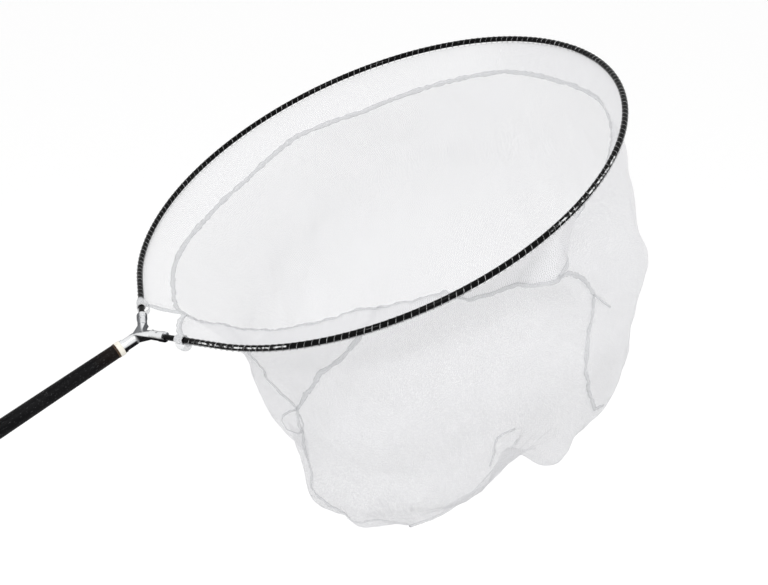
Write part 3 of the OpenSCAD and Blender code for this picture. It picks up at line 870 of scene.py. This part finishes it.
def along_table(seam, start, end, step):
    """Angle-and-level points along a seam, from one level to another."""
    count = ceil((end - start) / step)
    levels = [start + (end - start) * i / count for i in range(count + 1)]
    return [(table(level, seam), level) for level in levels]


def seam(name, points, wide, thick, nodes=()):
    """A ridge along the points, wide and thick in millimetres."""
    new_piece(name, strand(ridge(points), wide / 2, thick / 2, uneven=0.6), seam_grey, nodes)


round_step = 0.5
ring = [(-180 + i * round_step, 1.0) for i in range(int(360 / round_step) + 1)]
seam_step = 0.02
seam("band_seam_ridge", ring, 5.4, 3.0, ["band_seam"])
seam("left_seam_ridge", along_table(LEFT, 1, 7.6, seam_step), 4.8, 2.0, ["panel_seam"])
seam("right_seam_ridge", along_table(RIGHT, 1, 4.6, seam_step), 4.8, 2.0)
seam("gusset_seam_ridge", along_table(GUSSET, 1, GUSSET_END, seam_step), 4.4, 1.8, ["gusset_seam"])

# Three short gathers, as (angle, level): up from the notch, on the right and on the left
gather = [(-106, 3.36), (-109, 3.37), (-111, 3.45), (-112, 3.6), (-112, 3.8), (-112.5, 4.0), (-113, 4.2)]
seam("notch_gather_ridge", gather, 2.6, 1.4)
crease = [(-75, 2.2), (-74.3, 2.28), (-73.5, 2.36), (-72.5, 2.44), (-71.5, 2.52)]
seam("right_crease_ridge", crease, 2.0, 1.0)
loop = [(-168.5, 2.52), (-172, 2.62), (-176, 2.8), (-178.5, 3.0), (-178, 3.2), (-174, 3.25), (-170, 3.05),
        (-167.5, 2.8), (-168, 2.6)]
seam("left_fold_ridge", loop, 2.2, 1.2)

# The lower edge is one ridge just below the keel
down = Vector((0, 0, -1))
bottom = [(bag(angle, KEEL - 0.01) + down * 1.2, down) for angle in range(180, -1, -2)]
new_piece("bottom_seam_ridge", strand(bottom, 1.8, 1.4), seam_grey, ["bottom_seam"])

# %% [markdown]
# ## The hem across the gap
# The free edge of the band at the handle is turned over and sewn. It runs from one
# tie to the other.

# %% Hem
HEM_STEPS = 60
hem_line = []
for i in range(HEM_STEPS + 1):
    angle = 180 + TIE_ANGLE * (2 * i / HEM_STEPS - 1)
    level = gap_level(angle)
    hem_line.append((bag(angle, level), outwards(angle, max(level, 0.05))))
new_piece("gap_hem_binding", strand(hem_line, 3.0, 1.4, uneven=0.25), hem_white, ["gap_hem"])

# %% [markdown]
# ## The lashing
# One long white thread winds round the rod and catches the band's edge at each turn.
# It lies close on top of the rod and reaches down to the netting underneath.

# %% A thread wound round the rod
THREAD_R = 0.24
AIR = 0.06     # between thread and rod
SLACK = 1.15   # how far the thread reaches down to the netting
WANDER = 1.5   # how far a turn strays along the rod


def lash_point(distance):
    """A point of the thread, and the rod's centre beside it."""
    turn = 2 * pi * distance / TURN
    centre, away = round_rod(distance, turn)
    ahead = on_rod(distance)[1]
    wander = noise.noise(Vector((distance * 0.02, 4.2, 0))) * WANDER
    reach = ROD_R + THREAD_R + AIR + SLACK * max(0.0, -sin(turn)) ** 4
    return centre + ahead * wander + away * reach, centre


points_a_turn = 20
count = int(2 * LASH_END / TURN * points_a_turn)
lash_line = []
for i in range(count + 1):
    point, centre = lash_point(-LASH_END + 2 * LASH_END * i / count)
    lash_line.append((point, (point - centre).normalized()))
new_piece("hoop_lashing", strand(lash_line, THREAD_R, THREAD_R * 0.8, sides=6), thread_white,
          ["lashing"])

# %% [markdown]
# Where a length of thread starts, its end is laid along the rod under the first turns.
# One lies next to the near tie, and one at the join between the two lengths. Both lie
# where the gloss of the rod shows its highlights, and their white stands in for those
# highlights: painted highlights made of thread.

# %% Laid ends, painted highlights on the rod
LAID_STEPS = 60


def highlight_laid_end(name, start, end, turn_start, turn_end):
    """Runs between two distances along the rod, which are negative on the near side.

    Its turn round the rod is in degrees.
    """
    line = []
    for i in range(LAID_STEPS + 1):
        share = i / LAID_STEPS
        distance = start + (end - start) * share
        stray = 6 * noise.noise(Vector((distance * 0.03, 8, 0)))
        turn = radians(turn_start + (turn_end - turn_start) * share + stray)
        centre, away = round_rod(distance, turn)
        line.append((centre + away * (ROD_R + 0.15), away))
    new_piece(name, strand(line, 0.75, 0.3), thread_white)


# Painted highlights: the two thread ends are white lines where the rod's highlights fall.
highlight_laid_end("first_highlight_laid_end", -792, -672, 44, 42)
highlight_laid_end("join_highlight_laid_end", -395, -268, 36, 24)

# %% [markdown]
# ## The end ties
# At each end the lashing finishes in a tie: turns of soft cord side by side, and the
# netting's corner wrapped round the rod as a loose loop that hangs a little below it.

# %% Ties
TIE_START = ARC + TAIL - TIE_OUT
TIE_TURNS, TURN_STEPS = 5.5, 24
CORD_R, CORD_PITCH = 1.0, 1.9
LOOP_IN = 1.5     # from the tie's end to the loop
LOOP_WIDE = 11.0  # along the rod
LOOP_AWAY = 2.5   # from the rod, where the loop is tight


def tie(name, side, node):
    line = []
    count = int(TIE_TURNS * TURN_STEPS)
    for i in range(count + 1):
        distance = side * (TIE_START - CORD_R - i / count * TIE_TURNS * CORD_PITCH)
        centre, away = round_rod(distance, 2 * pi * i / TURN_STEPS)
        ripple = 0.25 * noise.noise(Vector((i * 0.15, side, 0)))
        line.append((centre + away * (ROD_R + CORD_R + ripple), away))
    new_piece(name, strand(line, CORD_R, CORD_R * 0.9, sides=10), tie_white, [node])


def tie_loop(name, side):
    """The corner of the band, turned round the rod."""

    def place(s, t):
        turn = 2 * pi * (s + 0.02)
        centre, away = round_rod(side * (TIE_START - LOOP_IN - LOOP_WIDE * t), turn, squash=0.85)
        sag = max(0.0, -sin(turn)) ** 1.5 * (6.5 + 1.5 * sin(3 * t))
        reach = ROD_R + LOOP_AWAY + sag + 0.4 * noise.noise(Vector((s * 6, t * 4, side)))
        return to_world(centre + away * reach)

    return new_piece(name, grid(48, 12, place), hem_white)


tie("far_end_tie", 1, "end_tie_left")
tie("near_end_tie", -1, "end_tie_right")
far_loop = tie_loop("far_tie_loop", 1)
near_loop = tie_loop("near_tie_loop", -1)

# %% [markdown]
# ## What the cloth is
# Each sheet is listed with the size of cloth it is cut from and the area of the cut,
# and its area here is printed beside the flat one.

# %% Sheets


def area(piece):
    return sum(face.area for face in piece.data.polygons)


# Each cut: piece, width and length of the cloth it is cut from, area of the cut, hangs on
CUTS = ((band, (1.73, 0.062), 0.0663, "hoop_lashing"),
        (near, (0.50, 0.60), 0.1525, "band_netting"),
        (far, (1.20, 0.62), 0.3915, "band_netting"),
        (gusset, (0.15, 0.16), 0.0154, "band_netting"),
        (far_loop, (0.055, 0.011), 0.00054, "far_end_tie"),
        (near_loop, (0.055, 0.011), 0.00054, "near_end_tie"))
for piece, flat, sewn, hangs in CUTS:
    print(f"{piece.name}: {area(piece):.5f} m2 here, {sewn:.5f} flat")

# %% [markdown]
# ## The studio
# A plain pale floor far below, a soft sky of even light, and three soft lamps: a wide
# one high on the viewer's left, a weaker one from the right, and a small one lower on
# the left for a glint on the rod and the block. The sky is plain white to the camera
# and in reflections, and lights the net a little less than that. The floor adds a
# little light of its own for the camera, so that it reads as white too and still keeps
# a shadow. White threads then stand against white, told apart by shade.

# %% Floor, sky, lamps
FLOOR_Z = -0.95
FLOOR_GLOW = 0.2             # for the camera only
SKY_LIGHT, SKY_SEEN = 0.85, 1.0
mesh = bmesh.new()
bmesh.ops.create_grid(mesh, x_segments=1, y_segments=1, size=12)
data = bpy.data.meshes.new("studio_floor")
mesh.to_mesh(data)
mesh.free()
ground = bpy.data.objects.new("studio_floor", data)
bpy.context.scene.collection.objects.link(ground)
ground.location = (1, 0, FLOOR_Z)
pale = Finish("pale_floor", Base_Color=(0.9, 0.9, 0.9), Roughness=0.9)
seen = pale.add("ShaderNodeLightPath", output="Is Camera Ray")
pale.put("Emission Color", pale.mix(seen, (0, 0, 0), (FLOOR_GLOW, FLOOR_GLOW, FLOOR_GLOW)))
pale.put("Emission Strength", 1.0)
data.materials.append(pale.material)

sky = bpy.data.worlds.new("soft_sky")
bpy.context.scene.world = sky
sky.use_nodes = True
nodes, links = sky.node_tree.nodes, sky.node_tree.links
path = nodes.new("ShaderNodeLightPath")
shown = path.outputs["Is Camera Ray"]
for other in ("Is Glossy Ray", "Is Transmission Ray"):
    either = nodes.new("ShaderNodeMath")
    either.operation = "MAXIMUM"
    links.new(shown, either.inputs[0])
    links.new(path.outputs[other], either.inputs[1])
    shown = either.outputs[0]
level = nodes.new("ShaderNodeMapRange")
level.inputs["To Min"].default_value = SKY_LIGHT
level.inputs["To Max"].default_value = SKY_SEEN
links.new(shown, level.inputs["Value"])
links.new(level.outputs[0], nodes["Background"].inputs["Strength"])
nodes["Background"].inputs["Color"].default_value = (1, 1, 1, 1)


def lamp(name, place, wide, power):
    """A square lamp that faces the hoop; place is in metres from the hoop's centre."""
    light = bpy.data.lights.new(name, "AREA")
    light.shape, light.size, light.energy = "SQUARE", wide, power
    thing = bpy.data.objects.new(name, light)
    thing.location = HOOP + Vector(place)
    thing.rotation_euler = (HOOP - thing.location).to_track_quat("-Z", "Y").to_euler()
    bpy.context.scene.collection.objects.link(thing)


lamp("key", (-1.6, -1.9, 2.3), 0.9, 20)
lamp("fill", (2.2, -1.2, 1.2), 1.2, 16)
lamp("glint", (-1.75, -1.0, 1.0), 0.2, 9)

# %% [markdown]
# ## The camera
# A long lens from the front left and a little above, about 1.7 metres away.

# %% Camera
EYE = Vector((-0.792, -1.426, 0.511))   # in metres from the hoop's centre
LOOK = Vector((0.457, 0.811, -0.366))
lens = bpy.data.cameras.new("camera")
lens.lens, lens.sensor_width = 75, 36
camera = bpy.data.objects.new("camera", lens)
camera.location = HOOP + EYE
camera.rotation_euler = LOOK.to_track_quat("-Z", "Y").to_euler()
bpy.context.scene.collection.objects.link(camera)
bpy.context.scene.camera = camera
bpy.context.scene.view_settings.view_transform = "Standard"
